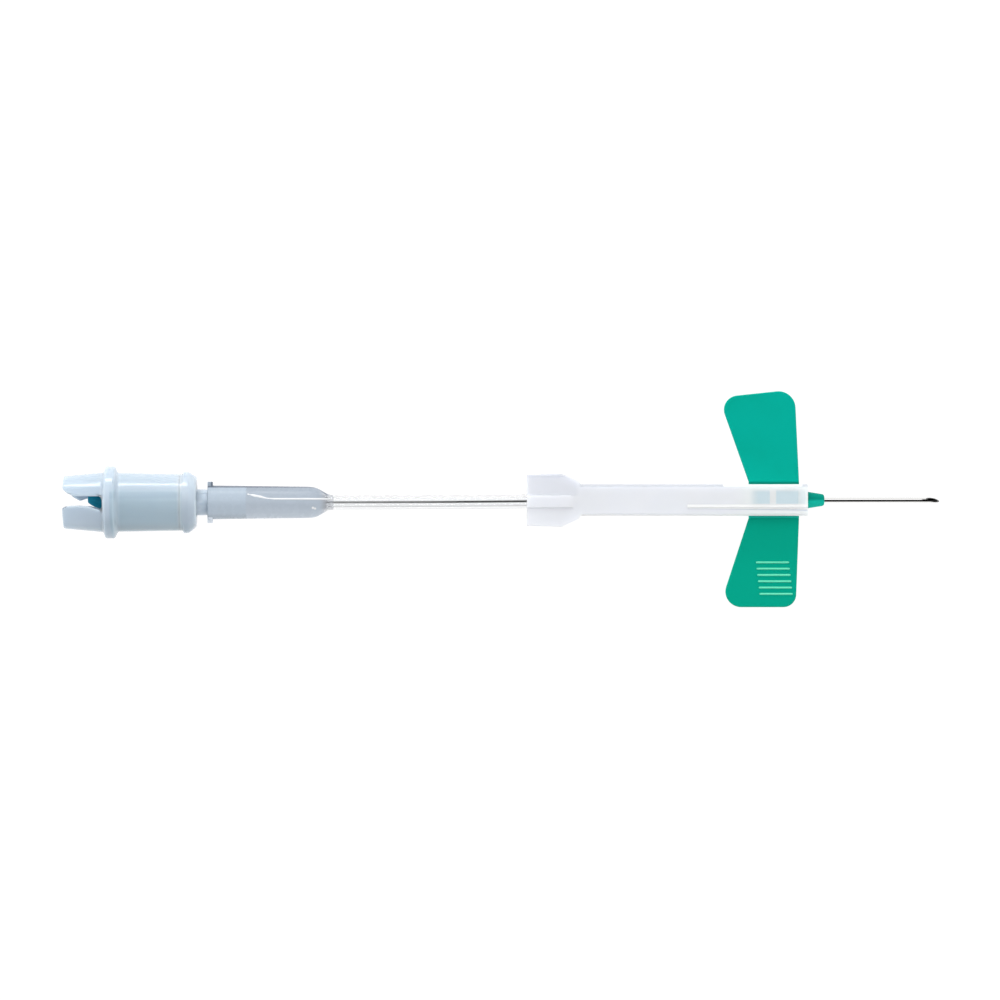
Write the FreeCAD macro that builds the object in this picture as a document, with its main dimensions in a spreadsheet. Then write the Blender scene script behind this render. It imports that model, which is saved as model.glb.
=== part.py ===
import FreeCAD, Part
import math
import os
import Sketcher

# Safety butterfly needle for drawing blood, lying on a table.
# Frame: millimetres, +X along the needle towards its tip, +Z up, origin at the
# middle of the assembly's footprint on the table.
# Front group (needle, hub, wings, safety sleeve) lies level, its axis at hub_z.
# Rear group (tube holder and the luer joint) is fatter, so it lies nose down:
# its axis falls towards +X by tilt_deg, with the flange's rim and the end cap's
# lip on the table. It is drawn along its own axis, x = 0 at the flange's middle.

doc = FreeCAD.newDocument("safety_butterfly_needle")
sheet = doc.addObject("Spreadsheet::Sheet", "Sheet")

DIMENSIONS = [
    # --- where the two groups lie
    ("front_y", -0.22, "front group's axis, sideways"),
    ("hub_z", 2.5, "front group's axis, height"),
    ("rear_x", -64.9, "middle of the holder's flange"),
    ("rear_y", -0.60, "rear group's axis, sideways"),
    ("rear_z", 5.9877, "rear group's axis at the flange, height"),
    ("tilt_deg", 4.0923, "rear group lies nose down by this angle"),
    # --- holder shell, x along its own axis
    ("prong_end", -7.6, "open end of the two prongs"),
    ("prong_tip_rad", 4.33, "outside radius at the prongs' ends"),
    ("prong_root_rad", 4.93, "outside radius where the prongs meet the flange"),
    ("flange_foot_back", -1.07, "flange's foot, back"),
    ("flange_foot_front", 1.24, "flange's foot, front"),
    ("flange_half", 0.74, "half width of the flange's rim"),
    ("flange_rad", 5.95, "flange's rim"),
    ("barrel_back_rad", 4.86, "barrel behind"),
    ("barrel_front_rad", 4.67, "barrel at the end cap"),
    ("barrel_end", 11.57, "end of the barrel"),
    ("bore_mouth_rad", 3.80, "bore at the mouth"),
    ("bore_deep_rad", 3.78, "bore at the end cap"),
    # --- luer hub: end cap, boss for the rear needle and the male cone
    ("boss_start", 10.2, "boss that carries the rear needle"),
    ("boss_rad", 1.9, "boss"),
    ("spigot_start", 10.4, "ring that centres the cap in the barrel"),
    ("spigot_out_rad", 3.76, "spigot outside"),
    ("spigot_in_rad", 3.1, "spigot inside"),
    ("cap_back_rad", 4.72, "cap, flush with the barrel"),
    ("lip_start", 12.07, "lip"),
    ("lip_end", 12.9, "lip's front"),
    ("lip_rad", 5.08, "lip"),
    ("nose_start", 13.39, "cap's nose"),
    ("nose_rad", 4.3, "cap's nose"),
    ("cap_end", 14.21, "cap's front face"),
    ("cone_root_rad", 2.18, "male cone at the cap, 6 percent taper"),
    ("cone_end", 22.5, "male cone's end"),
    ("cone_tip_rad", 1.93, "male cone's end"),
    ("cone_bore_rad", 1.05, "bore of the male cone"),
    ("cone_bore_start", 15.0, "bottom of that bore"),
    # --- rear needle and its rubber sleeve
    ("rear_tip", -2.9, "rear needle's point, inside the rubber"),
    ("needle_rad", 0.40, "needle outside, 21 gauge"),
    ("needle_in_rad", 0.27, "needle inside"),
    ("needle_seat_rad", 0.41, "bore that the needles are bonded in"),
    ("bevel_len", 2.3, "length of a needle's bevel"),
    ("rubber_tip", -3.7, "closed end of the rubber sleeve"),
    ("rubber_nose", 2.2, "length of its domed nose"),
    ("rubber_rad", 1.35, "rubber sleeve outside"),
    ("rubber_in_rad", 0.55, "rubber sleeve inside"),
    ("rubber_collar_rad", 1.75, "collar at the boss"),
    ("rubber_collar_len", 1.2, "collar at the boss"),
    # --- luer connector
    ("luer_mouth", 16.0, "mouth of the female luer"),
    ("luer_mouth_rad", 2.80, "outside at the mouth"),
    ("luer_neck", 32.7, "start of the shoulder"),
    ("luer_neck_rad", 2.60, "outside at the shoulder"),
    ("luer_end", 36.8, "end of the connector"),
    ("luer_end_rad", 1.29, "outside at the end"),
    ("luer_gap", 0.02, "gap between the two cones"),
    ("socket_floor", 24.3, "bottom of the female cone"),
    ("tube_seat", 25.4, "tube's end inside the connector"),
    ("lug_len", 0.85, "lock lug along the axis"),
    ("lug_reach", 3.42, "lock lug, outermost"),
    ("lug_half", 1.15, "half width of a lock lug"),
    # --- tubing
    ("tube_rad", 1.175, "tubing outside"),
    ("tube_in_rad", 0.65, "tubing inside"),
    ("tube_fit", 0.01, "gap round the tube in its two sockets"),
    ("tube_end_x", 38.5, "tube's end inside the hub"),
    # --- hub
    ("hub_back", 30.5, "hub's rear end"),
    ("hub_socket_rad", 1.65, "hub's tube socket outside"),
    ("hub_block_back", 41.5, "block that carries the wings"),
    ("hub_block_front", 49.45, "its front"),
    ("hub_block_half", 1.8, "half width of the block"),
    ("hub_block_high", 1.6, "half height of the block"),
    ("hub_nose_rad", 1.57, "nose at the block"),
    ("nose_mid", 50.6, "nose at the sleeve's mouth"),
    ("nose_mid_rad", 1.42, "nose at the sleeve's mouth"),
    ("nose_tip", 53.2, "nose near its end"),
    ("nose_tip_rad", 1.0, "nose near its end"),
    ("nose_end", 53.53, "end of the nose"),
    ("nose_end_rad", 0.75, "end of the nose"),
    ("needle_back", 40.5, "needle's rear end"),
    ("passage_rad", 0.6, "passage from the tube to the needle"),
    ("needle_tip", 72.78, "needle's point"),
    ("bevel_roll", -30.0, "the bevel looks up and a little sideways"),
    # --- wings
    ("hinge_out", 3.05, "fold line, from the front group's axis"),
    ("wing_low", -0.45, "underside, from the axis"),
    ("wing_high", 0.45, "top, from the axis"),
    ("wing_root_back", 41.09, "root, rear"),
    ("wing_root_front", 49.34, "root, front"),
    ("wing_round", 0.2, "rounding of the wings' outer edges"),
    # --- safety sleeve
    ("sleeve_back", 4.0, "rear end of the sleeve"),
    ("sleeve_front", 50.59, "front end of the sleeve"),
    ("sleeve_half", 2.62, "half width"),
    ("sleeve_high", 2.5, "half height"),
    ("sleeve_round_top", 0.5, "rounding of the two upper long edges"),
    ("sleeve_round_low", 0.35, "rounding of the two lower long edges"),
    ("cavity_half", 2.0, "half width of the cavity"),
    ("cavity_high", 1.8, "half height of the cavity"),
    ("cavity_end", 49.7, "cavity's front wall"),
    ("mouth_rad", 1.70, "hole in the front wall"),
    ("slot_back", 16.35, "rear end of the side slots"),
    ("slot_front", 49.5, "front end of the side slots"),
    ("slot_half", 0.65, "half height of the side slots"),
    ("catch_half", 0.52, "half height between the catches"),
    ("flare_half_back", 4.27, "half width of the grip at its rear"),
    ("flare_half", 4.42, "half width of the grip"),
    ("flare_knee", 9.8, "grip starts to narrow"),
    ("flare_foot", 12.6, "grip nearly ends"),
    ("flare_foot_half", 3.12, "half width there"),
    ("flare_end", 13.4, "grip meets the body"),
    ("flare_low", 2.5, "half height of the grip's two sides"),
    ("spine_half", 1.25, "half width of the spine on the grip"),
    ("spine_high", 2.75, "top of the spine"),
    ("spine_end", 12.4, "spine starts to fall"),
    ("spine_fade", 15.2, "spine meets the flat top"),
    ("rib_back", 30.6, "long rib on the top, rear"),
    ("rib_near", -0.65, "long rib, foot of its slope"),
    ("rib_crest", -1.05, "long rib, head of its slope"),
    ("rib_far", -1.32, "long rib, foot of its steep side"),
    ("rib_high", 2.68, "top of the long rib"),
]

values = {}
for row, (alias, number, words) in enumerate(DIMENSIONS, 1):
    sheet.set("A%d" % row, words)
    sheet.set("B%d" % row, repr(float(number)))
    sheet.setAlias("B%d" % row, alias)
    values[alias] = float(number)
doc.recompute()


class Dim:
    """A number together with the expression that gives it from the sheet."""

    def __init__(self, value, text):
        self.value = value
        self.text = text

    def __add__(self, other):
        other = as_dim(other)
        return Dim(self.value + other.value, "(%s + %s)" % (self.text, other.text))

    def __radd__(self, other):
        return as_dim(other) + self

    def __sub__(self, other):
        other = as_dim(other)
        return Dim(self.value - other.value, "(%s - %s)" % (self.text, other.text))

    def __rsub__(self, other):
        return as_dim(other) - self

    def __mul__(self, other):
        other = as_dim(other)
        return Dim(self.value * other.value, "(%s * %s)" % (self.text, other.text))

    def __rmul__(self, other):
        return as_dim(other) * self

    def __neg__(self):
        return Dim(-self.value, "(-1 * %s)" % self.text)


def as_dim(x):
    return x if isinstance(x, Dim) else Dim(float(x), repr(float(x)))


def d(alias):
    return Dim(values[alias], "Sheet." + alias)


def new_body(name):
    body = doc.addObject("PartDesign::Body", name)
    body.Label = name
    return body


def plane(body, role):
    return [o for o in body.Origin.OriginFeatures if o.Role == role][0]


def poly_sketch(body, name, role, points, offset=None):
    """A closed polygon on one of the body's own planes, every corner placed from the sheet."""
    sketch = body.newObject("Sketcher::SketchObject", name)
    sketch.AttachmentSupport = [(plane(body, role), "")]
    sketch.MapMode = "FlatFace"
    if offset is not None:
        offset = as_dim(offset)
        sketch.AttachmentOffset = FreeCAD.Placement(
            FreeCAD.Vector(0, 0, offset.value), FreeCAD.Rotation()
        )
        sketch.setExpression("AttachmentOffset.Base.z", offset.text)
    points = [(as_dim(u), as_dim(v)) for u, v in points]
    count = len(points)
    for i in range(count):
        a, b = points[i], points[(i + 1) % count]
        sketch.addGeometry(
            Part.LineSegment(
                FreeCAD.Vector(a[0].value, a[1].value, 0),
                FreeCAD.Vector(b[0].value, b[1].value, 0),
            ),
            False,
        )
    for i in range(count):
        sketch.addConstraint(
            Sketcher.Constraint("Coincident", i, 2, (i + 1) % count, 1)
        )
    for i, corner in enumerate(points):
        for kind, axis_id, dim in (
            ("DistanceX", -2, corner[0]),
            ("DistanceY", -1, corner[1]),
        ):
            if abs(dim.value) < 1e-9:
                sketch.addConstraint(
                    Sketcher.Constraint("PointOnObject", i, 1, axis_id)
                )
                continue
            index = sketch.addConstraint(
                Sketcher.Constraint(kind, -1, 1, i, 1, dim.value)
            )
            if "Sheet." in dim.text:
                sketch.renameConstraint(index, "%s_%d" % (kind, i))
                sketch.setExpression("Constraints.%s_%d" % (kind, i), dim.text)
    doc.recompute()
    return sketch


def circle_sketch(body, name, role, radius, offset):
    sketch = body.newObject("Sketcher::SketchObject", name)
    sketch.AttachmentSupport = [(plane(body, role), "")]
    sketch.MapMode = "FlatFace"
    offset, radius = as_dim(offset), as_dim(radius)
    sketch.AttachmentOffset = FreeCAD.Placement(
        FreeCAD.Vector(0, 0, offset.value), FreeCAD.Rotation()
    )
    sketch.setExpression("AttachmentOffset.Base.z", offset.text)
    sketch.addGeometry(
        Part.Circle(FreeCAD.Vector(0, 0, 0), FreeCAD.Vector(0, 0, 1), radius.value),
        False,
    )
    sketch.addConstraint(Sketcher.Constraint("Coincident", 0, 3, -1, 1))
    index = sketch.addConstraint(Sketcher.Constraint("Radius", 0, radius.value))
    sketch.renameConstraint(index, "radius")
    sketch.setExpression("Constraints.radius", radius.text)
    doc.recompute()
    return sketch


def volume(body):
    return body.Shape.Volume


def revolve(body, name, points):
    """A turned solid: the profile is drawn in x and radius, and turned about the body's X axis."""
    profile = poly_sketch(body, name + "_profile", "XY_Plane", points)
    turned = body.newObject("PartDesign::Revolution", name)
    turned.Profile = profile
    turned.ReferenceAxis = (profile, ["H_Axis"])
    turned.Angle = 360
    doc.recompute()
    return turned


def groove(body, name, points):
    before = volume(body)
    profile = poly_sketch(body, name + "_profile", "XY_Plane", points)
    cut = body.newObject("PartDesign::Groove", name)
    cut.Profile = profile
    cut.ReferenceAxis = (profile, ["H_Axis"])
    cut.Angle = 360
    doc.recompute()
    if not volume(body) < before - 1e-4:
        raise RuntimeError("%s removes nothing" % name)
    return cut


def pad(body, name, profile, length, midplane=False, reverse=False):
    before = volume(body) if body.Shape.Solids else 0.0
    grown = body.newObject("PartDesign::Pad", name)
    grown.Profile = profile
    length = as_dim(length)
    grown.Length = length.value
    if "Sheet." in length.text:
        grown.setExpression("Length", length.text)
    grown.Midplane = midplane
    grown.Reversed = reverse
    doc.recompute()
    if not volume(body) > before + 1e-4:
        raise RuntimeError("%s adds nothing" % name)
    return grown


def pocket(body, name, profile, length, midplane=False, reverse=False):
    before = volume(body)
    cut = body.newObject("PartDesign::Pocket", name)
    cut.Profile = profile
    length = as_dim(length)
    cut.Length = length.value
    if "Sheet." in length.text:
        cut.setExpression("Length", length.text)
    cut.Midplane = midplane
    cut.Reversed = reverse
    doc.recompute()
    if not volume(body) < before - 1e-4:
        raise RuntimeError("%s removes nothing" % name)
    return cut


def box_points(low_u, high_u, low_v, high_v):
    return [(low_u, low_v), (high_u, low_v), (high_u, high_v), (low_u, high_v)]


def fillet(body, name, base, edges, radius):
    rounded = body.newObject("PartDesign::Fillet", name)
    rounded.Base = (base, edges)
    rounded.Radius = radius
    doc.recompute()
    return rounded


def edges_at(shape, spots, along=2, reach=0.05):
    """Names of the straight edges along X, Y or Z (0, 1, 2) that pass a spot in the other two."""
    found = []
    keep = [k for k in range(3) if k != along]
    for i, edge in enumerate(shape.Edges, 1):
        if len(edge.Vertexes) != 2:
            continue
        a, b = edge.Vertexes[0].Point, edge.Vertexes[1].Point
        if any(abs(a[k] - b[k]) > 1e-6 for k in keep):
            continue
        for spot in spots:
            if all(abs(a[k] - spot[j]) < reach for j, k in enumerate(keep)):
                found.append("Edge%d" % i)
                break
    return found


def place_rear(body):
    body.Placement = FreeCAD.Placement(
        FreeCAD.Vector(values["rear_x"], values["rear_y"], values["rear_z"]),
        FreeCAD.Rotation(FreeCAD.Vector(0, 1, 0), values["tilt_deg"]),
    )
    body.setExpression("Placement.Base.x", "Sheet.rear_x")
    body.setExpression("Placement.Base.y", "Sheet.rear_y")
    body.setExpression("Placement.Base.z", "Sheet.rear_z")
    body.setExpression("Placement.Rotation.Angle", "Sheet.tilt_deg")


def place_front(body):
    body.Placement = FreeCAD.Placement(
        FreeCAD.Vector(0, values["front_y"], values["hub_z"]), FreeCAD.Rotation()
    )
    body.setExpression("Placement.Base.y", "Sheet.front_y")
    body.setExpression("Placement.Base.z", "Sheet.hub_z")


pieces = {}

# ---------------------------------------------------------------- holder shell
# One moulding: barrel, flange and two prongs that straddle the blood tube's cap.
holder = new_body("holder_shell")
revolve(
    holder,
    "holder_turned",
    [
        (d("prong_end"), d("bore_mouth_rad")),
        (d("prong_end"), d("prong_tip_rad")),
        (d("flange_foot_back"), d("prong_root_rad")),
        (-d("flange_half"), d("flange_rad")),
        (d("flange_half"), d("flange_rad")),
        (d("flange_foot_front"), d("barrel_back_rad")),
        (d("barrel_end"), d("barrel_front_rad")),
        (d("barrel_end"), d("bore_deep_rad")),
    ],
)
# The gap between the prongs in the upper wall: a long ramp on one prong, a
# rounded corner and a notch at the root on the other.
top_gap = poly_sketch(
    holder,
    "top_gap",
    "XY_Plane",
    [
        (-9.0, 3.4),
        (d("prong_end") - 0.14, 2.65),
        (d("prong_end") + 0.16, 2.0),
        (d("prong_end") + 0.81, 1.48),
        (d("prong_end") + 1.96, 0.98),
        (d("flange_foot_back") - 0.03, 1.0),
        (d("flange_foot_back") - 0.03, -1.36),
        (-2.07, -1.08),
        (-2.73, -0.84),
        (-3.38, -0.66),
        (-5.51, -0.54),
        (-6.6, -0.58),
        (-7.2, -0.72),
        (-7.55, -0.98),
        (-7.7, -1.4),
        (-7.75, -2.0),
        (-9.0, -2.2),
    ],
)
pocket(holder, "top_gap_cut", top_gap, d("flange_rad") + 1, reverse=True)
low_gap = poly_sketch(
    holder,
    "low_gap",
    "XY_Plane",
    [
        (-9.0, 3.4),
        (d("prong_end") - 0.14, 2.6),
        (-7.2, 1.75),
        (-6.48, 0.9),
        (-5.31, 0.22),
        (-4.14, 0.62),
        (d("flange_foot_back") - 0.03, 0.7),
        (d("flange_foot_back") - 0.03, -1.36),
        (-2.07, -1.08),
        (-2.73, -0.84),
        (-3.38, -0.66),
        (-5.51, -0.54),
        (-6.6, -0.58),
        (-7.2, -0.72),
        (-7.55, -0.98),
        (-7.7, -1.4),
        (-7.75, -2.0),
        (-9.0, -2.2),
    ],
)
pocket(holder, "low_gap_cut", low_gap, d("flange_rad") + 1, reverse=False)
place_rear(holder)
pieces["holder_shell"] = holder

# ---------------------------------------------------------------- luer hub
# End cap of the holder, with the boss for the rear needle and the male cone.
luer_hub = new_body("luer_hub")
revolve(
    luer_hub,
    "luer_hub_turned",
    [
        (d("boss_start"), d("needle_seat_rad")),
        (d("boss_start"), d("boss_rad")),
        (d("lip_start"), d("boss_rad")),
        (d("lip_start"), d("spigot_in_rad")),
        (d("spigot_start"), d("spigot_in_rad")),
        (d("spigot_start"), d("spigot_out_rad")),
        (d("barrel_end"), d("spigot_out_rad")),
        (d("barrel_end"), d("cap_back_rad") - 0.04),
        (d("lip_start") - 0.05, d("cap_back_rad")),
        (d("lip_start") - 0.18, d("lip_rad") - 0.1),
        (d("lip_start"), d("lip_rad")),
        (d("lip_end"), d("lip_rad")),
        (d("nose_start"), d("nose_rad")),
        (d("cap_end") - 0.12, d("nose_rad")),
        (d("cap_end"), d("nose_rad") - 0.12),
        (d("cap_end"), d("cone_root_rad")),
        (d("cone_end") - 0.1, d("cone_tip_rad")),
        (d("cone_end"), d("cone_tip_rad") - 0.1),
        (d("cone_end"), d("cone_bore_rad")),
        (d("cone_bore_start"), d("cone_bore_rad")),
        (d("cone_bore_start"), d("needle_seat_rad")),
    ],
)
place_rear(luer_hub)
pieces["luer_hub"] = luer_hub

# ---------------------------------------------------------------- rear needle
rear_needle = new_body("rear_needle")
revolve(
    rear_needle,
    "rear_needle_tube",
    [
        (d("rear_tip"), d("needle_in_rad")),
        (d("rear_tip"), d("needle_rad")),
        (d("cone_bore_start"), d("needle_rad")),
        (d("cone_bore_start"), d("needle_in_rad")),
    ],
)
bevel = poly_sketch(
    rear_needle,
    "rear_bevel",
    "XZ_Plane",
    [
        (d("rear_tip") - 1, -d("needle_rad") - 0.3),
        (d("rear_tip"), -d("needle_rad")),
        (d("rear_tip") + d("bevel_len"), d("needle_rad")),
        (d("rear_tip") + d("bevel_len"), 1),
        (d("rear_tip") - 1, 1),
    ],
)
pocket(rear_needle, "rear_bevel_cut", bevel, 3, midplane=True)
place_rear(rear_needle)
pieces["rear_needle"] = rear_needle

# ---------------------------------------------------------------- rubber sleeve
# Closed rubber finger over the rear needle; its collar sits on the boss.
rubber = new_body("rubber_sleeve")
nose_steps = [0.0, 0.06, 0.2, 0.42, 0.7, 1.0]
outline = []
for share in nose_steps:
    # elliptical nose, radius from 0 at the tip to the full radius
    outline.append(
        (
            d("rubber_tip") + share * d("rubber_nose"),
            d("rubber_rad") * math.sqrt(1 - (1 - share) ** 2),
        )
    )
revolve(
    rubber,
    "rubber_turned",
    outline
    + [
        (d("boss_start") - d("rubber_collar_len") - 0.4, d("rubber_rad")),
        (d("boss_start") - d("rubber_collar_len"), d("rubber_collar_rad")),
        (d("boss_start"), d("rubber_collar_rad")),
        (d("boss_start"), d("rubber_in_rad")),
        (d("rear_tip") - 0.3, d("rubber_in_rad")),
        (d("rear_tip") - 0.3, 0),
    ],
)
place_rear(rubber)
pieces["rubber_sleeve"] = rubber

# ---------------------------------------------------------------- luer connector
# Clear moulding: female luer with two lock lugs, and the tube's socket.
luer = new_body("luer_connector")
slope = (values["cone_root_rad"] - values["cone_tip_rad"]) / (
    values["cone_end"] - values["cap_end"]
)
revolve(
    luer,
    "luer_turned",
    [
        (
            d("luer_mouth"),
            d("cone_root_rad") - slope * (d("luer_mouth") - d("cap_end")) + d("luer_gap"),
        ),
        (d("luer_mouth"), d("luer_mouth_rad") - 0.08),
        (d("luer_mouth") + 0.08, d("luer_mouth_rad")),
        (d("luer_neck"), d("luer_neck_rad")),
        (d("luer_neck") + 0.5, d("luer_neck_rad") - 0.03),
        (d("luer_neck") + 1.0, d("luer_neck_rad") - 0.12),
        (d("luer_neck") + 1.5, d("luer_neck_rad") - 0.28),
        (d("luer_neck") + 2.0, d("luer_neck_rad") - 0.55),
        (d("luer_neck") + 2.4, d("luer_neck_rad") - 0.80),
        (d("luer_neck") + 2.8, d("luer_neck_rad") - 1.02),
        (d("luer_neck") + 3.1, d("luer_end_rad") + 0.12),
        (d("luer_end") - 0.2, d("luer_end_rad")),
        (d("luer_end"), d("luer_end_rad") - 0.03),
        (d("luer_end"), d("tube_rad") + d("tube_fit")),
        (d("tube_seat"), d("tube_rad") + d("tube_fit")),
        (d("tube_seat"), d("tube_in_rad")),
        (d("socket_floor"), d("tube_in_rad")),
        (
            d("socket_floor"),
            d("cone_root_rad")
            - slope * (d("socket_floor") - d("cap_end"))
            + d("luer_gap"),
        ),
    ],
)
for side, sign in (("left", 1), ("right", -1)):
    low, high = sorted((sign * 2.45, sign * values["lug_reach"]))
    edge_low = d("lug_reach") * sign if sign < 0 else as_dim(low)
    edge_high = d("lug_reach") * sign if sign > 0 else as_dim(high)
    lug = poly_sketch(
        luer,
        "lug_" + side,
        "XY_Plane",
        box_points(d("luer_mouth"), d("luer_mouth") + d("lug_len"), edge_low, edge_high),
    )
    pad(luer, "lug_pad_" + side, lug, 2 * d("lug_half"), midplane=True)
place_rear(luer)
pieces["luer_connector"] = luer

# ---------------------------------------------------------------- hub
# One moulding with the wings' roots: tube socket, wing block and nose.
hub = new_body("hub")
block = poly_sketch(
    hub,
    "block",
    "XY_Plane",
    box_points(
        d("hub_block_back"),
        d("hub_block_front"),
        -d("hub_block_half"),
        d("hub_block_half"),
    ),
)
block_pad = pad(hub, "block_pad", block, 2 * d("hub_block_high"), midplane=True)
fillet(
    hub,
    "block_edges",
    block_pad,
    edges_at(
        block_pad.Shape,
        [
            (y, z)
            for y in (-values["hub_block_half"], values["hub_block_half"])
            for z in (-values["hub_block_high"], values["hub_block_high"])
        ],
        along=0,
    ),
    0.4,
)
revolve(
    hub,
    "hub_turned",
    [
        (d("hub_back"), 0),
        (d("hub_back"), d("hub_socket_rad") - 0.12),
        (d("hub_back") + 0.12, d("hub_socket_rad")),
        (d("hub_block_back") - 0.6, d("hub_socket_rad")),
        (d("hub_block_back") + 0.4, d("hub_nose_rad")),
        (d("hub_block_front"), d("hub_nose_rad")),
        (d("nose_mid"), d("nose_mid_rad")),
        (d("nose_tip"), d("nose_tip_rad")),
        (d("nose_tip") + 0.2, d("nose_tip_rad") - 0.07),
        (d("nose_end"), d("nose_end_rad")),
        (d("nose_end"), 0),
    ],
)
stub = poly_sketch(
    hub,
    "stub",
    "XY_Plane",
    [
        (d("wing_root_back") - 0.12, d("hinge_out")),
        (d("wing_root_back"), 0),
        (d("wing_root_back") - 0.12, -d("hinge_out")),
        (d("wing_root_front"), -d("hinge_out")),
        (d("wing_root_front"), d("hinge_out")),
    ],
)
pad(hub, "stub_pad", stub, 2 * d("wing_high"), midplane=True)
groove(
    hub,
    "hub_bore",
    [
        (d("hub_back") - 1, 0),
        (d("hub_back") - 1, d("tube_rad") + d("tube_fit")),
        (d("tube_end_x"), d("tube_rad") + d("tube_fit")),
        (d("tube_end_x"), d("passage_rad")),
        (d("needle_back"), d("passage_rad")),
        (d("needle_back"), d("needle_seat_rad")),
        (d("nose_end") + 1, d("needle_seat_rad")),
        (d("nose_end") + 1, 0),
    ],
)
place_front(hub)
pieces["hub"] = hub

# ---------------------------------------------------------------- needle
needle = new_body("needle")
revolve(
    needle,
    "needle_tube",
    [
        (d("needle_back"), d("needle_in_rad")),
        (d("needle_back"), d("needle_rad")),
        (d("needle_tip"), d("needle_rad")),
        (d("needle_tip"), d("needle_in_rad")),
    ],
)
tip_bevel = poly_sketch(
    needle,
    "tip_bevel",
    "XZ_Plane",
    [
        (d("needle_tip") + 1, -d("needle_rad") - 0.3),
        (d("needle_tip"), -d("needle_rad")),
        (d("needle_tip") - d("bevel_len"), d("needle_rad")),
        (d("needle_tip") - d("bevel_len"), 1),
        (d("needle_tip") + 1, 1),
    ],
)
pocket(needle, "tip_bevel_cut", tip_bevel, 3, midplane=True)
needle.Placement = FreeCAD.Placement(
    FreeCAD.Vector(0, values["front_y"], values["hub_z"]),
    FreeCAD.Rotation(FreeCAD.Vector(1, 0, 0), values["bevel_roll"]),
)
needle.setExpression("Placement.Base.y", "Sheet.front_y")
needle.setExpression("Placement.Base.z", "Sheet.hub_z")
pieces["needle"] = needle

# ---------------------------------------------------------------- wings
# The two wings differ a little in outline. Each starts at its fold line, where
# the hub's root ends, and is a flat plate with rounded outer corners.
WINGS = {
    "wing_left": (1, [(36.0, 17.10), (48.62, 18.44)], (2.35, 2.85)),
    "wing_right": (-1, [(36.12, 17.84), (48.80, 17.84)], (2.6, 2.15)),
}
for name, (sign, outer, radii) in WINGS.items():
    wing = new_body(name)
    (rear_x, rear_y), (fore_x, fore_y) = outer
    outline = [
        (d("wing_root_back") - 0.12, sign * d("hinge_out")),
        (rear_x, sign * rear_y),
        (fore_x, sign * fore_y),
        (d("wing_root_front"), sign * d("hinge_out")),
    ]
    plate = poly_sketch(wing, name + "_outline", "XY_Plane", outline)
    plate_pad = pad(wing, name + "_plate", plate, 2 * d("wing_high"), midplane=True)
    first = fillet(
        wing,
        name + "_rear_corner",
        plate_pad,
        edges_at(plate_pad.Shape, [(rear_x, sign * rear_y)]),
        radii[0],
    )
    second = fillet(
        wing,
        name + "_fore_corner",
        first,
        edges_at(first.Shape, [(fore_x, sign * fore_y)]),
        radii[1],
    )
    rim = []
    for i, edge in enumerate(second.Shape.Edges, 1):
        spots = [v.Point for v in edge.Vertexes]
        level = all(abs(abs(p.z) - values["wing_high"]) < 1e-4 for p in spots)
        root = all(abs(abs(p.y) - values["hinge_out"]) < 1e-3 for p in spots)
        if level and not root:
            rim.append("Edge%d" % i)
    rounded = fillet(wing, name + "_rim", second, rim, values["wing_round"])
    rounded.setExpression("Radius", "Sheet.wing_round")
    doc.recompute()
    place_front(wing)
    pieces[name] = wing

# ---------------------------------------------------------------- safety sleeve
# One moulding: a square tube with rounded edges that slides along the hub,
# the wings standing out through its side slots, and a hollow grip at the rear.
sleeve = new_body("safety_sleeve")
half, high = d("sleeve_half"), d("sleeve_high")
section = poly_sketch(
    sleeve,
    "section",
    "YZ_Plane",
    box_points(-half, half, -high, high),
    offset=d("sleeve_back"),
)
tube_pad = pad(sleeve, "tube_pad", section, d("sleeve_front") - d("sleeve_back"))
upper = fillet(
    sleeve,
    "upper_edges",
    tube_pad,
    edges_at(
        tube_pad.Shape,
        [(y, values["sleeve_high"]) for y in (-half.value, half.value)],
        along=0,
    ),
    values["sleeve_round_top"],
)
upper.setExpression("Radius", "Sheet.sleeve_round_top")
lower = fillet(
    sleeve,
    "lower_edges",
    upper,
    edges_at(
        upper.Shape,
        [(y, -values["sleeve_high"]) for y in (-half.value, half.value)],
        along=0,
    ),
    values["sleeve_round_low"],
)
lower.setExpression("Radius", "Sheet.sleeve_round_low")
doc.recompute()
grip_plan = [
    (d("sleeve_back"), -d("flare_half_back")),
    (d("flare_knee"), -d("flare_half")),
    (d("flare_foot"), -d("flare_foot_half")),
    (d("flare_end"), -half + 0.6),
    (d("flare_end"), half - 0.6),
    (d("flare_foot"), d("flare_foot_half")),
    (d("flare_knee"), d("flare_half")),
    (d("sleeve_back"), d("flare_half_back")),
]
grip = poly_sketch(sleeve, "grip", "XY_Plane", grip_plan, offset=-high)
pad(sleeve, "grip_pad", grip, high + d("flare_low"))
spine = poly_sketch(
    sleeve,
    "spine",
    "XZ_Plane",
    [
        (d("sleeve_back"), high - 0.4),
        (d("spine_fade"), high - 0.4),
        (d("spine_fade"), high),
        (d("spine_end"), d("spine_high")),
        (d("sleeve_back"), d("spine_high")),
    ],
)
pad(sleeve, "spine_pad", spine, 2 * d("spine_half"), midplane=True)
rib = poly_sketch(
    sleeve,
    "rib",
    "YZ_Plane",
    [
        (d("rib_far"), high - 0.3),
        (d("rib_near"), high - 0.3),
        (d("rib_near"), high),
        (d("rib_crest"), d("rib_high")),
        (d("rib_far") + 0.1, d("rib_high")),
        (d("rib_far"), high),
    ],
    offset=d("rib_back"),
)
pad(sleeve, "rib_pad", rib, d("sleeve_front") - d("rib_back"))
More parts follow.
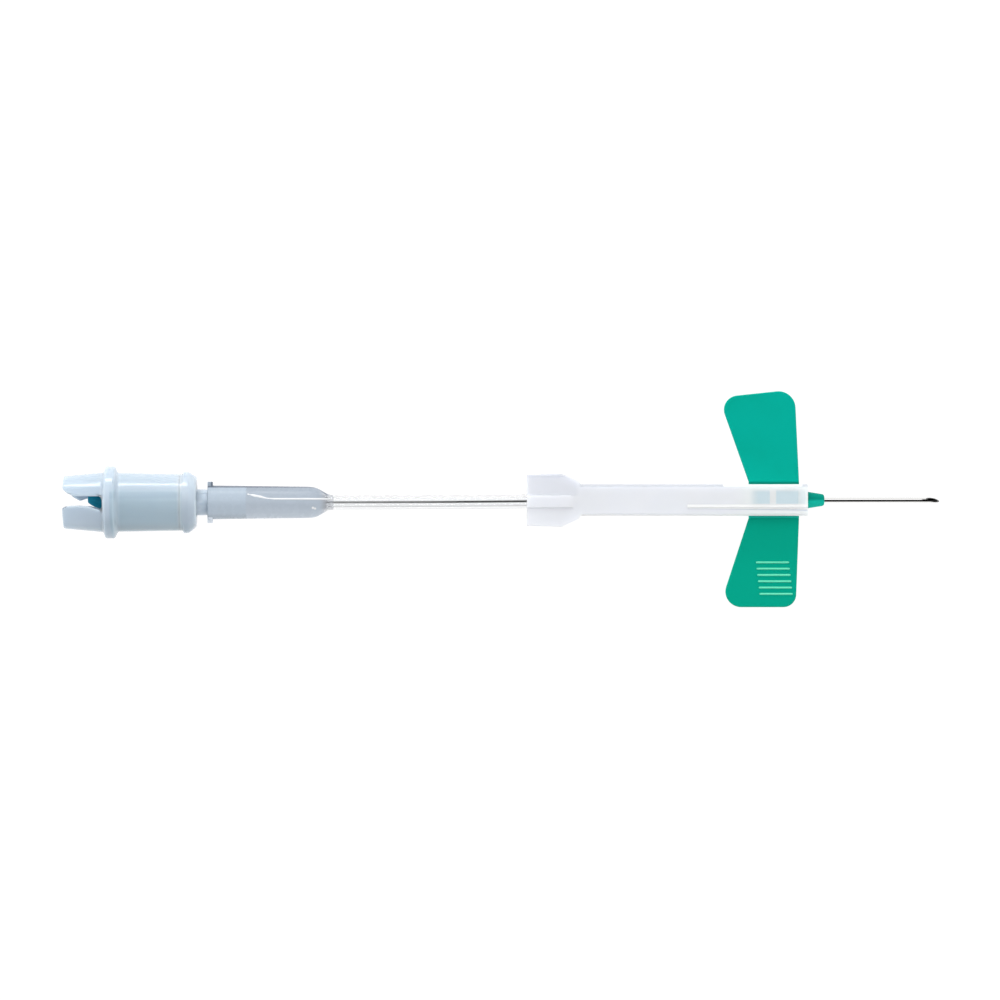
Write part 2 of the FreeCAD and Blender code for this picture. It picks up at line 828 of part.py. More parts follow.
cavity = poly_sketch(
    sleeve,
    "cavity",
    "YZ_Plane",
    [
        (-d("cavity_half") + 0.5, d("cavity_high")),
        (d("cavity_half") - 0.5, d("cavity_high")),
        (d("cavity_half"), d("cavity_high") - 0.45),
        (d("cavity_half"), -d("cavity_high")),
        (-d("cavity_half"), -d("cavity_high")),
        (-d("cavity_half"), d("cavity_high") - 0.45),
    ],
    offset=d("cavity_end"),
)
pocket(
    sleeve, "cavity_cut", cavity, d("cavity_end") - d("sleeve_back") + 1, reverse=False
)
mouth = circle_sketch(
    sleeve, "mouth", "YZ_Plane", d("mouth_rad"), d("sleeve_front") + 0.5
)
pocket(sleeve, "mouth_cut", mouth, 2.0, reverse=False)
grip_inside = poly_sketch(
    sleeve,
    "grip_inside",
    "XY_Plane",
    [
        (d("sleeve_back") - 1, -d("flare_half_back") + 0.8),
        (d("flare_knee") - 0.3, -d("flare_half") + 0.8),
        (d("flare_foot") - 0.6, -1.9),
        (d("flare_foot") - 0.6, 1.9),
        (d("flare_knee") - 0.3, d("flare_half") - 0.8),
        (d("sleeve_back") - 1, d("flare_half_back") - 0.8),
    ],
    offset=-d("cavity_high"),
)
pocket(
    sleeve,
    "grip_inside_cut",
    grip_inside,
    d("cavity_high") + d("flare_low") - 0.7,
    reverse=True,
)
slot = poly_sketch(
    sleeve,
    "slot",
    "XZ_Plane",
    [
        (d("slot_back"), -d("slot_half")),
        (d("slot_back") + 8.85, -d("slot_half")),
        (d("slot_back") + 9.05, -d("catch_half")),
        (d("slot_back") + 9.35, -d("slot_half")),
        (d("slot_front"), -d("slot_half")),
        (d("slot_front"), d("slot_half")),
        (d("slot_back") + 9.35, d("slot_half")),
        (d("slot_back") + 9.05, d("catch_half")),
        (d("slot_back") + 8.85, d("slot_half")),
        (d("slot_back"), d("slot_half")),
    ],
)
pocket(sleeve, "slot_cut", slot, 12, midplane=True)
# Two thin places in the roof, cut from the inside.
for label, x_low, x_high in (("rear", 41.5, 44.25), ("front", 45.3, 49.0)):
    window = poly_sketch(
        sleeve,
        "window_" + label,
        "XY_Plane",
        box_points(x_low, x_high, -0.55, 1.52),
        offset=d("cavity_high"),
    )
    pocket(sleeve, "window_cut_" + label, window, 0.42, reverse=True)
place_front(sleeve)
pieces["safety_sleeve"] = sleeve

# ---------------------------------------------------------------- tubing
# Clear tube, 2.35 mm outside. Its route is straight runs joined by tangent arcs.
tilt = math.radians(values["tilt_deg"])
start = FreeCAD.Vector(
    values["rear_x"] + values["tube_seat"] * math.cos(tilt),
    values["rear_y"],
    values["rear_z"] - values["tube_seat"] * math.sin(tilt),
)
down = FreeCAD.Vector(math.cos(tilt), 0, -math.sin(tilt))
route = [
    start,
    start + down * 21.1,
    FreeCAD.Vector(3.5, -0.43, 2.36),
    FreeCAD.Vector(21.0, values["front_y"], values["hub_z"]),
    FreeCAD.Vector(values["tube_end_x"], values["front_y"], values["hub_z"]),
]
edges, here, length = [], route[0], 0.0
for i in range(1, len(route) - 1):
    before, corner, after = route[i - 1], route[i], route[i + 1]
    come = (corner - before).normalize()
    go = (after - corner).normalize()
    turn = come.getAngle(go)
    reach = 0.45 * min((corner - before).Length, (after - corner).Length)
    radius = reach / math.tan(turn / 2)
    first, last = corner - come * reach, corner + go * reach
    bisector = (go - come).normalize()
    middle = corner + bisector * (radius / math.cos(turn / 2) - radius)
    edges.append(Part.LineSegment(here, first).toShape())
    edges.append(Part.Arc(first, middle, last).toShape())
    here = last
    print(
        "tubing corner %d: turn %.2f degrees, radius %.1f mm"
        % (i, math.degrees(turn), radius)
    )
edges.append(Part.LineSegment(here, route[-1]).toShape())
path = Part.Wire(edges)
length = path.Length


def swept(radius):
    ring = Part.Wire([Part.Circle(route[0], route[1] - route[0], radius).toShape()])
    shell = Part.BRepOffsetAPI.MakePipeShell(path)
    shell.setFrenetMode(False)
    shell.add(ring, False, True)
    shell.build()
    shell.makeSolid()
    return shell.shape()


tube_shape = swept(values["tube_rad"]).cut(swept(values["tube_in_rad"]))
tubing = doc.addObject("Part::Feature", "tubing")
tubing.Label = "tubing"
tubing.Shape = tube_shape
tubing.Placement = FreeCAD.Placement()
expected = math.pi * (values["tube_rad"] ** 2 - values["tube_in_rad"] ** 2) * length
print(
    "tubing length %.2f mm, volume %.2f of %.2f mm3"
    % (length, tubing.Shape.Volume, expected)
)
if abs(tubing.Shape.Volume - expected) > 0.01 * expected:
    raise RuntimeError("the tube's volume isn't its section times its length")
pieces["tubing"] = tubing

# ---------------------------------------------------------------- checks and export
doc.recompute()
for item in doc.Objects:
    if any(word in item.State for word in ("Invalid", "Error")):
        raise RuntimeError("%s failed: %s" % (item.Name, item.State))
whole = None
for name, item in pieces.items():
    shape = item.Shape
    if shape.isNull() or not shape.isValid():
        raise RuntimeError("%s has no valid shape" % name)
    if len(shape.Solids) != 1:
        raise RuntimeError("%s is %d solids" % (name, len(shape.Solids)))
    box = shape.BoundBox
    print(
        "%-15s %8.2f mm3  x %.2f..%.2f  y %.2f..%.2f  z %.3f..%.3f"
        % (
            name,
            shape.Volume,
            box.XMin,
            box.XMax,
            box.YMin,
            box.YMax,
            box.ZMin,
            box.ZMax,
        )
    )
    whole = box if whole is None else whole.united(box)
print(
    "whole x %.3f..%.3f y %.3f..%.3f z %.3f..%.3f"
    % (whole.XMin, whole.XMax, whole.YMin, whole.YMax, whole.ZMin, whole.ZMax)
)
os.makedirs("parts", exist_ok=True)
for name, item in pieces.items():
    item.Shape.exportStep("parts/%s.step" % name)
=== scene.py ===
import math

import bpy
import bmesh
from mathutils import Matrix, Vector
from mathutils.bvhtree import BVHTree


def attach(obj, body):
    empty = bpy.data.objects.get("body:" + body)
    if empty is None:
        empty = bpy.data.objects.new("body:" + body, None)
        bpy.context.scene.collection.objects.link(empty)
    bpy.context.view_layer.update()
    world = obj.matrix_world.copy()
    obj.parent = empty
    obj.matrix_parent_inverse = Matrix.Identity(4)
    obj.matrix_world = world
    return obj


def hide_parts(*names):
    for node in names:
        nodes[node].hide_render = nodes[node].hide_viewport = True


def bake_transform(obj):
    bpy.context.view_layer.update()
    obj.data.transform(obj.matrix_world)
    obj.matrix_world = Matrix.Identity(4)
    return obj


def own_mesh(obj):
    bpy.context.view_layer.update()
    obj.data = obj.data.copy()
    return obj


# Looks of a safety butterfly needle that lies on a pale table, seen from above.
# Lengths in the tables below are millimetres, and every mesh is in metres.

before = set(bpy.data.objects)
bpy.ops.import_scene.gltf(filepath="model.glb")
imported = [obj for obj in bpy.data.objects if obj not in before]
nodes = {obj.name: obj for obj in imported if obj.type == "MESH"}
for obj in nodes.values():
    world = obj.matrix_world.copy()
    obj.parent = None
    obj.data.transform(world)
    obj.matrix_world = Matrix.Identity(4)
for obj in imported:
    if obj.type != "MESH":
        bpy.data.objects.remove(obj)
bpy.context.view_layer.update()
MM = 0.001
scene = bpy.context.scene

FRONT_Y, HUB_Z = -0.22, 2.5
TILT = math.radians(4.0923)
# the rear group's own frame: x along its axis towards the tube, z across it
REAR = (
    Matrix.Translation(Vector((-64.9, -0.60, 5.9877)) * MM)
    @ Matrix.Rotation(TILT, 4, "Y")
)
FRONT = Matrix.Translation(Vector((0.0, FRONT_Y, HUB_Z)) * MM)


# ------------------------------------------------------------------ camera
def make_camera():
    data = bpy.data.cameras.new("camera")
    data.sensor_width = 36.0
    data.sensor_fit = "HORIZONTAL"
    data.lens = 100.98
    data.clip_start, data.clip_end = 0.01, 10.0
    cam = bpy.data.objects.new("camera", data)
    cam.location = Vector((-0.47, -0.21, 470.0)) * MM
    cam.rotation_euler = (0.0, 0.0, 0.0)
    scene.collection.objects.link(cam)
    scene.camera = cam


# ------------------------------------------------------------------ nodes
class Tree:
    """A short way to write a material's nodes."""

    def __init__(self, name):
        self.material = bpy.data.materials.new(name)
        self.material.use_nodes = True
        self.tree = self.material.node_tree
        self.tree.nodes.clear()
        self.out = self.tree.nodes.new("ShaderNodeOutputMaterial")
        self.coords = self.tree.nodes.new("ShaderNodeTexCoord").outputs["Object"]

    def new(self, kind, **inputs):
        node = self.tree.nodes.new(kind)
        for key, value in inputs.items():
            setattr(node, key, value)
        return node

    def link(self, a, b):
        self.tree.links.new(a, b)

    def put(self, socket, value):
        if isinstance(value, bpy.types.NodeSocket):
            self.link(value, socket)
        else:
            socket.default_value = value

    def stretch(self, scale):
        node = self.new("ShaderNodeVectorMath", operation="MULTIPLY")
        self.link(self.coords, node.inputs[0])
        node.inputs[1].default_value = scale
        return node.outputs[0]

    def noise(self, per_mm, detail=3.0, rough=0.55, scale=(1, 1, 1), distort=0.0):
        """Noise with about per_mm grains in a millimetre."""
        node = self.new("ShaderNodeTexNoise", noise_dimensions="3D")
        node.inputs["Scale"].default_value = per_mm * 1000.0
        node.inputs["Detail"].default_value = detail
        node.inputs["Roughness"].default_value = rough
        node.inputs["Distortion"].default_value = distort
        self.link(self.stretch(scale), node.inputs["Vector"])
        return node.outputs["Fac"]

    def math(self, operation, a, b=0.0, c=0.0, clamp=False):
        node = self.new("ShaderNodeMath", operation=operation, use_clamp=clamp)
        self.put(node.inputs[0], a)
        self.put(node.inputs[1], b)
        self.put(node.inputs[2], c)
        return node.outputs[0]

    def ramp(self, value, low, high, to_low=0.0, to_high=1.0, smooth=True):
        node = self.new("ShaderNodeMapRange", clamp=True)
        node.interpolation_type = "SMOOTHSTEP" if smooth else "LINEAR"
        self.put(node.inputs["Value"], value)
        self.put(node.inputs["From Min"], low)
        self.put(node.inputs["From Max"], high)
        self.put(node.inputs["To Min"], to_low)
        self.put(node.inputs["To Max"], to_high)
        return node.outputs["Result"]

    def mix(self, factor, a, b, blend="MIX"):
        node = self.new("ShaderNodeMix", data_type="RGBA", blend_type=blend)
        self.put(node.inputs[0], factor)
        for socket, value in ((node.inputs[6], a), (node.inputs[7], b)):
            if isinstance(value, bpy.types.NodeSocket):
                self.link(value, socket)
            else:
                socket.default_value = (*value, 1.0) if len(value) == 3 else value
        return node.outputs[2]

    def blend(self, factor, a, b):
        """A number between a and b."""
        node = self.new("ShaderNodeMix", data_type="FLOAT")
        self.put(node.inputs[0], factor)
        self.put(node.inputs[2], a)
        self.put(node.inputs[3], b)
        return node.outputs[0]

    def xyz(self, vector=None):
        node = self.new("ShaderNodeSeparateXYZ")
        self.link(vector or self.coords, node.inputs[0])
        return node.outputs

    def bump(self, height, distance_mm, strength=1.0, normal=None):
        node = self.new("ShaderNodeBump")
        node.inputs["Strength"].default_value = strength
        node.inputs["Distance"].default_value = distance_mm * MM
        self.link(height, node.inputs["Height"])
        if normal is not None:
            self.link(normal, node.inputs["Normal"])
        return node.outputs["Normal"]

    def principled(self, **values):
        node = self.new("ShaderNodeBsdfPrincipled")
        for key, value in values.items():
            socket = node.inputs[key.replace("_", " ")]
            if isinstance(value, tuple) and len(value) == 3 and socket.type == "RGBA":
                value = (*value, 1.0)
            self.put(socket, value)
        self.link(node.outputs[0], self.out.inputs["Surface"])
        return node


def srgb(r, g, b):
    """A colour given as 0 to 255 screen values, made linear."""
    def one(c):
        c /= 255.0
        return c / 12.92 if c <= 0.04045 else ((c + 0.055) / 1.055) ** 2.4

    return (one(r), one(g), one(b))


# ------------------------------------------------------------------ materials
def milky(name, light, dark, depth_mm, roughness, weight=1.0, shade=None, grain=0.4):
    """Moulded plastic that light goes into: two close tones and a satin skin."""
    t = Tree(name)
    cloud = t.ramp(t.noise(0.12, 2.0), 0.3, 0.7)
    color = t.mix(cloud, light, dark)
    if shade is not None:
        color, thin = shade(t, color)
        if thin is not None:
            weight = t.math("MULTIPLY", t.ramp(thin, 0.0, 1.0, 1.0, 0.3, smooth=False), weight)
    skin = t.noise(6.0, 4.0, 0.6)
    fine = t.noise(1.2, 3.0)
    height = t.math("ADD", t.math("MULTIPLY", skin, 0.35), fine)
    rough = t.ramp(fine, 0.25, 0.75, roughness - 0.04, roughness + 0.05)
    t.principled(
        Base_Color=color,
        Roughness=rough,
        IOR=1.49,
        Subsurface_Weight=weight,
        Subsurface_Radius=Vector((1.0, 1.0, 1.05)),
        Subsurface_Scale=depth_mm * MM,
        Normal=t.bump(height, 0.004, grain),
    )
    return t.material


def between(t, value, low, high, soft):
    """One inside low..high, with edges soft millimetres wide."""
    up = t.ramp(value, (low - soft / 2) * MM, (low + soft / 2) * MM)
    down = t.ramp(value, (high - soft / 2) * MM, (high + soft / 2) * MM, 1.0, 0.0)
    return t.math("MULTIPLY", up, down)


def barrel_shade(t, color):
    """Painted light and shade on the holder and cap: the barrel is thinner over its hollow, and painted shade makes
    it deeper there.
    """
    x, y, z = t.xyz()
    along = t.math(
        "SUBTRACT",
        t.math("MULTIPLY", t.math("ADD", x, 64.9 * MM), math.cos(TILT)),
        t.math("MULTIPLY", t.math("SUBTRACT", z, 5.9877 * MM), math.sin(TILT)),
    )
    pale = srgb(222, 232, 241)
    # painted shade over the hollow, deeper still along its upper part
    zone = between(t, x, -64.3, -52.75, 0.3)
    side = t.ramp(y, 0.85 * MM, 1.85 * MM, 1.0, 0.0)
    upper = t.math("MULTIPLY", between(t, y, 0.05, 1.12, 0.4), 0.36)
    zone = t.math("MULTIPLY", zone, side)
    color = t.mix(t.math("MULTIPLY", zone, 0.62), color, srgb(172, 194, 205))
    color = t.mix(t.math("MULTIPLY", zone, upper), color, srgb(156, 176, 192))
    # painted light in the corners beside the flange and at the joint with the cap, lifting their shade
    feet = t.math(
        "ADD",
        t.math("MULTIPLY", between(t, along, -1.45, -0.9, 0.3), 0.12),
        t.math("MULTIPLY", between(t, along, 0.85, 1.75, 0.5), 0.24),
    )
    color = t.mix(feet, color, pale)
    joint = between(t, along, 11.15, 11.8, 0.4)
    color = t.mix(t.math("MULTIPLY", joint, 0.36), color, pale)
    # painted light on the flange, fading out at its far -Y edge
    rim = t.math("MULTIPLY", between(t, x, -65.55, -64.33, 0.2), t.ramp(y, -5.6 * MM, -4.8 * MM))
    color = t.mix(t.math("MULTIPLY", rim, 0.12), color, pale)
    # painted light on the neck near the connector, and on its lower half
    neck = t.math("MULTIPLY", t.ramp(x, -49.9 * MM, -49.1 * MM), 0.30)
    low = t.math("MULTIPLY", t.ramp(x, -50.75 * MM, -50.6 * MM), t.ramp(y, -0.8 * MM, 0.2 * MM, 0.42, 0.0))
    color = t.mix(t.math("MAXIMUM", neck, low), color, srgb(224, 236, 248))
    # painted shade: the far side, which turns away from the light, and the facet of the prong's inner edge are made a
    # little deeper
    facet = t.math("MULTIPLY", t.ramp(x, -66.3 * MM, -65.9 * MM, 1.0, 0.0), between(t, y, 0.3, 2.05, 0.3))
    color = t.mix(t.math("MULTIPLY", facet, 0.30), color, srgb(166, 184, 200))
    share = t.ramp(x, -52.85 * MM, -52.65 * MM, 0.62, 0.36)
    share = t.blend(t.ramp(x, -66.3 * MM, -66.0 * MM), 0.24, share)
    body = t.math("MULTIPLY", t.ramp(y, -4.9 * MM, -3.6 * MM, 1.0, 0.0), share)
    flange = t.math("MAXIMUM", t.ramp(y, -6.5 * MM, -5.9 * MM, 0.6, 0.0), t.ramp(y, -4.2 * MM, -2.4 * MM, 0.28, 0.0))
    inside = between(t, along, -1.3, 1.3, 0.3)
    far = t.blend(inside, body, flange)
    far = t.math("MULTIPLY", far, t.ramp(x, -50.75 * MM, -50.6 * MM, 1.0, 0.0))
    return t.mix(far, color, srgb(142, 160, 170)), None


def window_shade(t, color):
    """Painted light and shade on the sleeve: the roof is thin at the two windows, and painted shade shows the
    blue-grey hollow there.
    """
    x, y, z = t.xyz()
    # painted shade of the blue-grey hollow over the two windows
    rear = t.math(
        "MULTIPLY",
        t.ramp(x, 40.6 * MM, 42.6 * MM),
        t.ramp(x, 44.15 * MM, 44.35 * MM, 1.0, 0.0),
    )
    front = between(t, x, 45.3, 49.0, 0.2)
    zone = t.math("ADD", rear, front, clamp=True)
    across = t.math(
        "MULTIPLY",
        t.ramp(y, -0.90 * MM, -0.75 * MM),
        t.ramp(y, 1.0 * MM, 1.7 * MM, 1.0, 0.0),
    )
    above = t.ramp(z, 3.6 * MM, 4.4 * MM)
    zone = t.math("MULTIPLY", t.math("MULTIPLY", zone, across), above)
    # painted light: the sleeve lighter towards the front
    near = t.math("MULTIPLY", t.ramp(x, 38.0 * MM, 42.5 * MM), 0.85)
    color = t.mix(near, color, srgb(243, 251, 255))
    # a darker band just behind the front end, across the windows' width
    nose = t.math("MULTIPLY", between(t, x, 49.0, 50.15, 0.25), across)
    color = t.mix(t.math("MULTIPLY", nose, 0.40), color, srgb(206, 225, 233))
    # painted shade on the +Y side where the grip's spine ends
    grip = t.math("MULTIPLY", t.ramp(x, 11.9 * MM, 12.9 * MM, 0.45, 0.0), t.ramp(y, 0.3 * MM, 0.7 * MM))
    color = t.mix(grip, color, srgb(216, 219, 227))
    # painted shade along the +Y edges
    body = t.ramp(x, 12.3 * MM, 13.3 * MM)
    rim = t.math("ADD", t.math("MULTIPLY", t.ramp(y, 1.80 * MM, 2.15 * MM), body),
                 t.math("MULTIPLY", t.ramp(y, 3.2 * MM, 3.9 * MM), 0.5), clamp=True)
    color = t.mix(rim, color, srgb(197, 199, 205))
    # painted light along the -Y edge
    base = t.math("MULTIPLY", t.ramp(y, -2.72 * MM, -2.55 * MM, 1.0, 0.0), body)
    color = t.mix(t.math("MULTIPLY", base, 0.7), color, (1.0, 1.0, 1.0))
    # painted highlight: beside the green wings the two edges are made nearly white
    wings = between(t, x, 36.6, 49.6, 0.5)
    both = t.math("ADD", t.ramp(y, 1.95 * MM, 2.15 * MM), t.ramp(y, -2.65 * MM, -2.45 * MM, 1.0, 0.0))
    color = t.mix(t.math("MULTIPLY", wings, both), color, (1.0, 1.0, 1.0))
    # painted highlight on the long rib's crest and steep side, widening towards the front, with a painted shadow line
    # beside it
    foot = t.ramp(x, 31 * MM, 50 * MM, -1.56 * MM, -1.78 * MM, smooth=False)
    top = t.ramp(z, 4.95 * MM, 4.99 * MM)
    crest = t.math("MULTIPLY", t.ramp(x, 30.55 * MM, 30.65 * MM), top)
    pale = t.math("MULTIPLY", t.ramp(t.math("SUBTRACT", y, foot), -0.03 * MM, 0.03 * MM), t.ramp(y, -1.0 * MM, -0.85 * MM, 1.0, 0.0))
    color = t.mix(t.math("MULTIPLY", crest, pale), color, (1.0, 1.0, 1.0))
    line = t.ramp(t.math("ABSOLUTE", t.math("SUBTRACT", t.math("ADD", y, 0.10 * MM), foot)), 0.03 * MM, 0.12 * MM, 1.0, 0.0)
    line = t.math("MULTIPLY", line, t.ramp(x, 34 * MM, 46 * MM, 0.15, 0.75))
    color = t.mix(t.math("MULTIPLY", crest, line), color, srgb(196, 202, 216))
    return t.mix(zone, color, srgb(206, 225, 233)), zone


def glassy(name, base, alpha, roughness, shade=None, gloss=0.5):
    """Clear moulded plastic seen as a pale film over what is behind it."""
    t = Tree(name)
    fine = t.noise(0.8, 3.0)
    cloud = t.ramp(t.noise(0.25, 3.0), 0.3, 0.7)
    color = t.mix(cloud, base, tuple(c * 0.93 for c in base))
    if shade is not None:
        color, alpha = shade(t, color, alpha)
    rough = t.ramp(fine, 0.25, 0.75, roughness, roughness + 0.06)
    t.principled(
        Base_Color=color,
        Roughness=rough,
        IOR=1.50,
        Specular_IOR_Level=gloss,
        Alpha=alpha,
        Normal=t.bump(fine, 0.003, 0.4),
    )
    return t.material


def connector_shade(t, color, alpha):
    """The inner cone shows as a paler part; the rest is painted light and shade, with the wall's edge as a painted
    dark line.
    """
    x, y, z = t.xyz()
    # painted light and shade: lighter towards -Y, darker towards +Y
    across = t.ramp(y, -2.6 * MM, 1.7 * MM, smooth=False)
    color = t.mix(across, srgb(210, 220, 231), srgb(160, 170, 182))
    cone = t.ramp(x, -42.6 * MM, -42.3 * MM, 1.0, 0.0)
    color = t.mix(t.math("MULTIPLY", cone, 0.45), color, srgb(196, 212, 226))
    end = t.ramp(x, -30.6 * MM, -28.9 * MM)
    color = t.mix(t.math("MULTIPLY", end, 0.9), color, srgb(236, 239, 246))
    # painted shade low down over the cone
    low = t.math("MULTIPLY", t.ramp(y, -3.05 * MM, -2.3 * MM, 1.0, 0.0), t.math("MULTIPLY", cone, 0.45))
    color = t.mix(low, color, srgb(150, 162, 172))
    # two little white marks low on the shoulder
    one = t.math("SQRT", t.math("ADD", t.math("POWER", t.math("ADD", x, 31.42 * MM), 2.0),
                 t.math("POWER", t.math("ADD", y, 1.50 * MM), 2.0)))
    two = t.math("SQRT", t.math("ADD", t.math("POWER", t.math("ADD", x, 31.08 * MM), 2.0),
                 t.math("POWER", t.math("ADD", y, 1.62 * MM), 2.0)))
    dots = t.math("MAXIMUM", t.ramp(one, 0.14 * MM, 0.26 * MM, 1.0, 0.0), t.ramp(two, 0.12 * MM, 0.24 * MM, 1.0, 0.0))
    color = t.mix(dots, color, (1.0, 1.0, 1.0))
    # a painted dark line where the wall is seen edge on along the +Y side, down to the end of the shoulder
    wall = t.ramp(x, -31.2 * MM, -28.9 * MM, 1.72 * MM, 0.35 * MM)
    edge = t.ramp(t.math("SUBTRACT", y, wall), 0.0, 0.25 * MM)
    edge = t.math("MULTIPLY", edge, t.ramp(x, -29.3 * MM, -28.7 * MM, 1.0, 0.0))
    lug = t.ramp(x, -48.05 * MM, -47.95 * MM, 1.0, 0.0)
    left_lug = t.math("MULTIPLY", lug, t.ramp(y, 2.05 * MM, 2.15 * MM))
    left_lug = t.math("MULTIPLY", left_lug, between(t, x, -48.95, -48.3, 0.15))
    right_lug = t.math("MULTIPLY", lug, t.ramp(y, -3.15 * MM, -2.95 * MM, 1.0, 0.0))
    edge = t.math("MULTIPLY", edge, t.math("SUBTRACT", 1.0, t.math("MULTIPLY", left_lug, 0.8)))
    color = t.mix(t.math("MULTIPLY", edge, 0.85), color, srgb(78, 88, 104))
    # painted light on the lower lug
    color = t.mix(right_lug, color, srgb(240, 247, 255))
    clear = t.blend(t.math("MULTIPLY", end, 0.75), alpha, 0.0)
    return color, t.ramp(edge, 0.0, 1.0, clear, 1.0, smooth=False)


def tube_material():
    """Clear tubing with one fine dark line along it, kept in the mesh as 'stripe', and painted shade on its two
    flanks, kept in the mesh too.
    """
    t = Tree("clear_tubing")
    fine = t.noise(0.5, 3.0)
    stripe = t.new("ShaderNodeAttribute", attribute_name="stripe").outputs["Fac"]
    flank_shade = t.new("ShaderNodeAttribute", attribute_name="flank_shade").outputs["Fac"]
    # painted shade: the tube's flanks grey
    color = t.mix(flank_shade, (0.925, 0.932, 0.938), (0.42, 0.43, 0.44))
    color = t.mix(stripe, color, (0.008, 0.008, 0.008))
    t.principled(
        Base_Color=color,
        Roughness=t.ramp(fine, 0.25, 0.75, 0.02, 0.05),
        IOR=1.42,
        Transmission_Weight=1.0,
        Normal=t.bump(fine, 0.002, 0.3),
    )
    return t.material


def green(name, nose=False):
    """Matt teal plastic; the nose has painted light on its dull -Y half and painted shade on its +Y half, for the
    light it lets through.
    """
    t = Tree(name)
    cloud = t.ramp(t.noise(0.10, 2.0), 0.3, 0.7)
    x, y, z = t.xyz()
    color = t.mix(cloud, srgb(0, 173, 154), srgb(0, 166, 145))
    # painted shade: a little darker and less blue towards the -Y wing
    color = t.mix(t.ramp(y, -3 * MM, 3 * MM), srgb(0, 165, 138), color)
    if nose:
        # painted light on the nose's -Y half, painted shade on its +Y half
        color = t.mix(
            t.ramp(y, -0.55 * MM, 0.05 * MM), srgb(22, 192, 170), srgb(0, 140, 122)
        )
    # painted highlight: the ribs' tops a lighter mint
    ridge = t.new("ShaderNodeAttribute", attribute_name="ridge").outputs["Fac"]
    color = t.mix(ridge, color, srgb(112, 232, 190))
    grain = t.noise(9.0, 4.0, 0.65)
    rough = t.ramp(grain, 0.3, 0.7, 0.46, 0.60)
    t.principled(
        Base_Color=color,
        Roughness=rough,
        IOR=1.49,
        Specular_IOR_Level=0.04,
        Subsurface_Weight=0.2,
        Subsurface_Radius=Vector((0.35, 1.0, 0.9)),
        Subsurface_Scale=0.4 * MM,
        Normal=t.bump(grain, 0.008, 0.5),
    )
    return t.material


def steel():
    t = Tree("needle_steel")
    drawn = t.noise(4.0, 3.0, 0.6, scale=(0.03, 1.0, 1.0))
    rough = t.ramp(drawn, 0.3, 0.7, 0.07, 0.13)
    x, y, z = t.xyz()
    off = t.math("SQRT", t.math("ADD", t.math("POWER", t.math("SUBTRACT", y, FRONT_Y * MM), 2.0),
                 t.math("POWER", t.math("SUBTRACT", z, HUB_Z * MM), 2.0)))
    # painted shade: the bore's opening on the bevel, and a dark patch on the bevel's heel
    bore = t.math("MULTIPLY", t.ramp(off, 0.29 * MM, 0.32 * MM, 1.0, 0.0), t.ramp(x, 60 * MM, 61 * MM))
    heel = t.math("MULTIPLY", between(t, x, 69.8, 71.9, 0.5), between(t, y, -0.46, -0.06, 0.08))
    dark = t.math("MAXIMUM", bore, t.math("MULTIPLY", heel, 0.93))
    color = t.mix(dark, (0.70, 0.69, 0.675), (0.012, 0.012, 0.012))
    t.principled(
        Base_Color=color,
        Metallic=1.0,
        Roughness=rough,
        Normal=t.bump(drawn, 0.0015, 0.4),
    )
    return t.material


def rubber():
    t = Tree("teal_rubber")
    grain = t.noise(5.0, 4.0, 0.6)
    color = t.mix(t.ramp(grain, 0.3, 0.7), srgb(4, 130, 160), srgb(16, 144, 174))
    t.principled(
        Base_Color=color,
        Roughness=t.ramp(grain, 0.3, 0.7, 0.45, 0.6),
        Specular_IOR_Level=0.15,
        Normal=t.bump(grain, 0.010, 0.5),
    )
    return t.material


materials = {
    "holder_shell": milky(
        "holder_plastic", srgb(191, 204, 216), srgb(186, 200, 212), 1.4, 0.19, 0.8, barrel_shade, 0.22
    ),
    "luer_hub": milky(
        "cap_plastic", srgb(192, 204, 215), srgb(187, 200, 212), 1.4, 0.20, 0.8, barrel_shade, 0.22
    ),
    "luer_connector": glassy("clear_plastic", srgb(182, 192, 202), 0.86, 0.24, connector_shade, 0.25),
    "tubing": tube_material(),
    "safety_sleeve": milky(
        "milky_plastic", srgb(238, 239, 246), srgb(235, 237, 244), 1.2, 0.42, 0.9, window_shade
    ),
    "hub": green("green_hub_plastic", nose=True),
    "wing_left": green("green_plastic"),
    "needle": steel(),
    "rubber_sleeve": rubber(),
}
materials["wing_right"] = materials["wing_left"]
materials["rear_needle"] = materials["needle"]


def dress(obj, material):
    obj.data.materials.clear()
    obj.data.materials.append(material)


for name, obj in nodes.items():
    if obj.material_slots:
        for slot in obj.material_slots:
            slot.material = materials[name]
    else:
        obj.data.materials.append(materials[name])


def link(obj):
    scene.collection.objects.link(obj)
    return obj


def mesh_of(bm, name):
    bmesh.ops.recalc_face_normals(bm, faces=bm.faces)
    mesh = bpy.data.meshes.new(name)
    bm.to_mesh(mesh)
    bm.free()
    return link(bpy.data.objects.new(name, mesh))


def clean_copy(node):
    """The node's own surface as one joined mesh, with flat places as single faces."""
    bm = bmesh.new()
    bm.from_mesh(nodes[node].data)
    bmesh.ops.remove_doubles(bm, verts=bm.verts[:], dist=1.5e-6)
    bmesh.ops.dissolve_limit(
        bm,
        angle_limit=math.radians(0.4),
        use_dissolve_boundaries=False,
        verts=bm.verts[:],
        edges=bm.edges[:],
    )
    for layer in list(bm.loops.layers.uv.values()):
        bm.loops.layers.uv.remove(layer)
    return bm


def stands_for(obj, node, body):
    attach(obj, body)
    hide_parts(node)
    return obj


